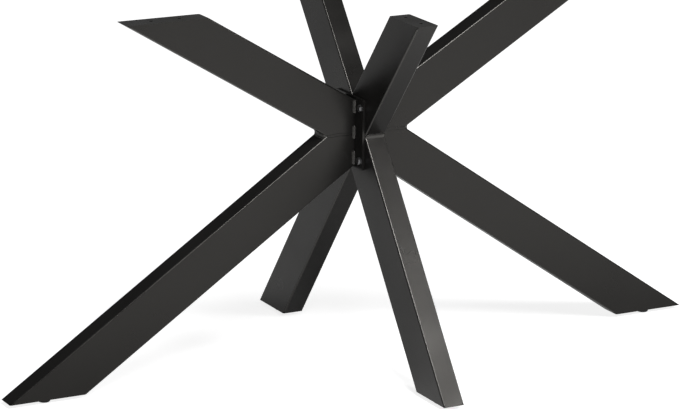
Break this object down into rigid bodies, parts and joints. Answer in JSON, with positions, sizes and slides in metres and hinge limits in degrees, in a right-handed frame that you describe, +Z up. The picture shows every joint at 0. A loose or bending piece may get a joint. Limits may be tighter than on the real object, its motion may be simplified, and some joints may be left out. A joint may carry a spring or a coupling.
{
  "type": "table base",
  "caption": "Black powder-coated steel table base: a long and a short K-shaped frame of rectangular tube cross at a bolted hub, with end plates for the tabletop and levelling glides.",
  "frame": {"origin": "on the floor, below the middle of the hub", "axes": "+X along the long frame, +Y along the short frame towards its back arm, +Z up"},
  "size_m": [1.5364, 0.788, 0.73],
  "materials": {
    "powder_coat": "black powder coat, satin with a fine texture",
    "coated_weld": "rippled weld bead under the same black powder coat, a little glossier",
    "fastener_steel": "blackened zinc-plated steel, satin",
    "glide_plastic": "black nylon, matte"
  },
  "bodies": {
    "root": {"long_left_upper_tube": "powder_coat", "long_left_lower_tube": "powder_coat", "long_left_top_plate": "powder_coat", "long_left_foot_plate": "powder_coat", "long_left_knee_weld": "coated_weld", "long_left_glide_pad": "glide_plastic", "long_left_glide_screw": "fastener_steel", "long_left_flange": "powder_coat", "long_left_flange_welds": "coated_weld", "long_right_upper_tube": "powder_coat", "long_right_lower_tube": "powder_coat", "long_right_top_plate": "powder_coat", "long_right_foot_plate": "powder_coat", "long_right_knee_weld": "coated_weld", "long_right_glide_pad": "glide_plastic", "long_right_glide_screw": "fastener_steel", "long_right_flange": "powder_coat", "long_right_flange_welds": "coated_weld", "short_front_upper_tube": "powder_coat", "short_front_lower_tube": "powder_coat", "short_front_top_plate": "powder_coat", "short_front_foot_plate": "powder_coat", "short_front_knee_weld": "coated_weld", "short_front_glide_pad": "glide_plastic", "short_front_glide_screw": "fastener_steel", "short_back_upper_tube": "powder_coat", "short_back_lower_tube": "powder_coat", "short_back_top_plate": "powder_coat", "short_back_foot_plate": "powder_coat", "short_back_knee_weld": "coated_weld", "short_back_glide_pad": "glide_plastic", "short_back_glide_screw": "fastener_steel", "hub_bolts": "fastener_steel", "hub_nuts": "fastener_steel"}
  },
  "joints": []
}
